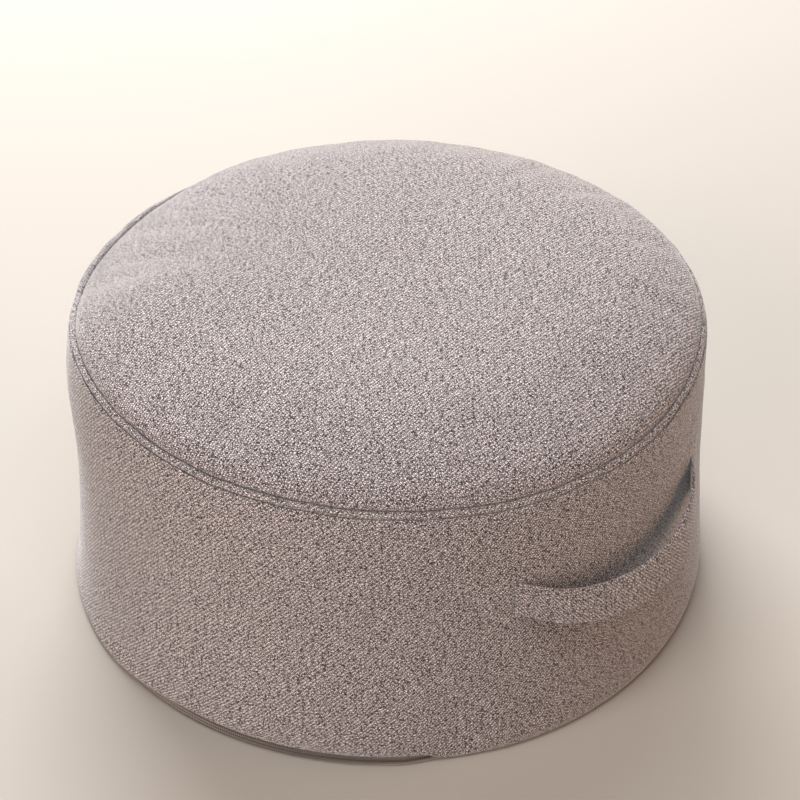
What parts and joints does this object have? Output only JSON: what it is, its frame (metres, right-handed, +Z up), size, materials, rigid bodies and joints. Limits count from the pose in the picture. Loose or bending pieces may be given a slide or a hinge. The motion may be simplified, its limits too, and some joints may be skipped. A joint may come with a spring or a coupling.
{
  "type": "round floor pouf",
  "caption": "Low round drum-shaped floor pouf of slub-woven cloth with a domed piped top, a sewn carrying strap and a zip in the bottom seam, for sitting on or resting feet.",
  "frame": {"origin": "middle of the base, on the floor", "axes": "+Z up, the carrying strap faces -Y, +X to the right when the strap is looked at"},
  "size_m": [0.4143, 0.4252, 0.2251],
  "materials": {
    "cloth": "matte, coarse slub weave in mixed grey and taupe yarns",
    "zip": "dark taupe woven tape with a matte coil chain"
  },
  "bodies": {
    "root": {"cushion": "cloth", "top_piping": "cloth", "handle_strap": "cloth", "zip_upper_half": "zip", "zip_lower_half": "zip"}
  },
  "joints": []
}
